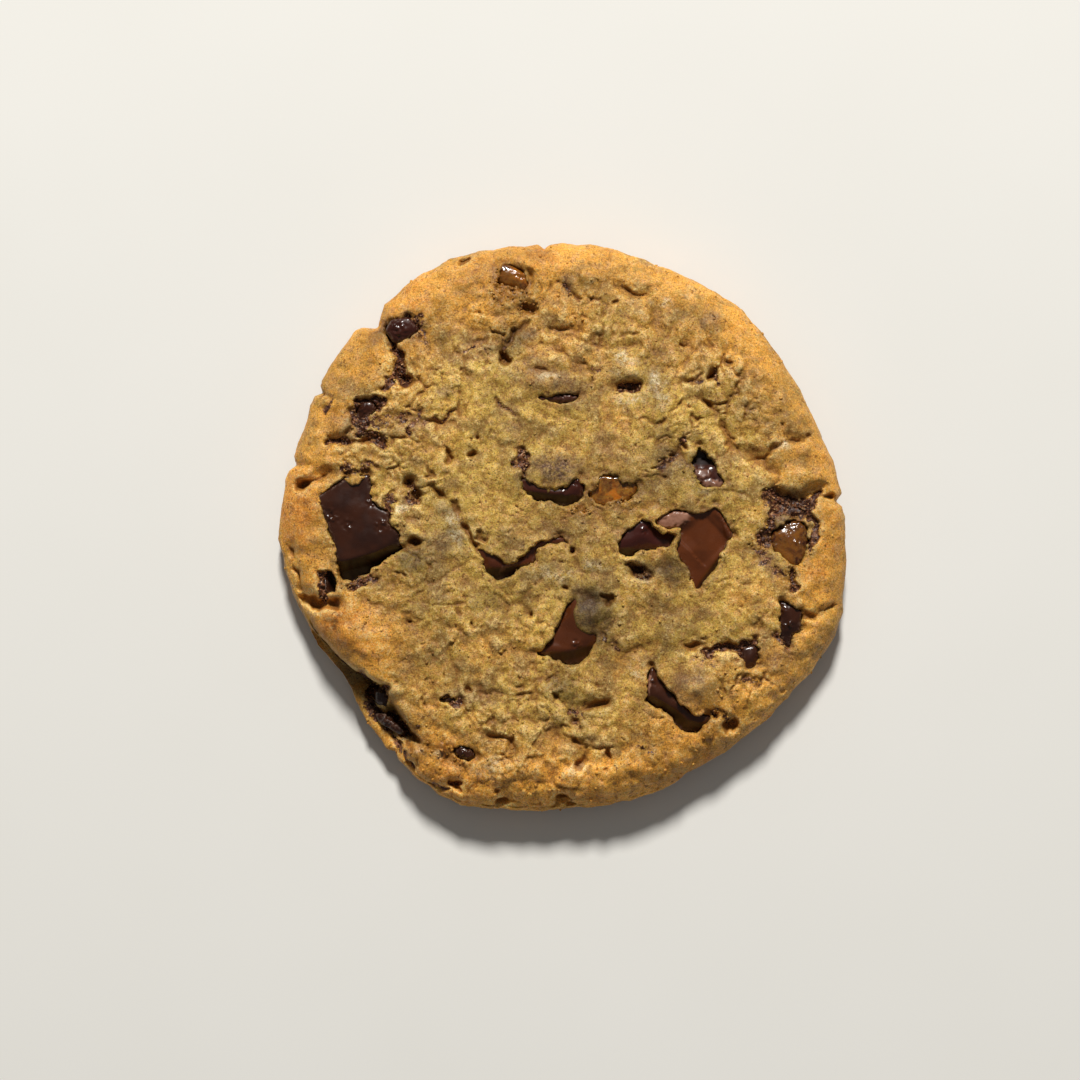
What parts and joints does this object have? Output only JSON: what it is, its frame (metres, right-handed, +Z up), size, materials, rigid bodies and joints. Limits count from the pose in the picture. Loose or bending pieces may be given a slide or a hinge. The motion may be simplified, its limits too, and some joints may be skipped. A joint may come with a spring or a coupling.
{
  "type": "chocolate chunk cookie",
  "caption": "Round, flat, chewy cookie with a golden crackled crust, sunken dark chocolate chunks, caramel bits and a folded lower left edge.",
  "frame": {"origin": "centre of the cookie's outline on the plane of its flat base", "axes": "+Z up out of the crust, +Y to the side with the caramel bit on the rim, +X to the side of the largest caramel bit"},
  "size_m": [0.0909, 0.0908, 0.0116],
  "materials": {
    "dough": "dry crackled baked crust, golden brown at the rim and paler in the middle",
    "chocolate": "dark glossy half-melted chocolate",
    "caramel": "wet amber caramel"
  },
  "bodies": {
    "root": {"caramel_centre": "caramel", "caramel_right": "caramel", "caramel_top": "caramel", "chunk_left": "chocolate", "chunk_left_small": "chocolate", "chunk_left_upper": "chocolate", "chunk_lower": "chocolate", "chunk_lower_left": "chocolate", "chunk_lower_right": "chocolate", "chunk_right": "chocolate", "chunk_right_edge": "chocolate", "chunk_right_fold": "chocolate", "chunk_right_small": "chocolate", "chunk_sliver": "chocolate", "chunk_smile": "chocolate", "chunk_top": "chocolate", "chunk_under_fold": "chocolate", "chunk_under_fold_low": "chocolate", "chunk_upper_left": "chocolate", "chunk_upper_right": "chocolate", "chunk_vee": "chocolate", "dough": "dough"}
  },
  "joints": []
}
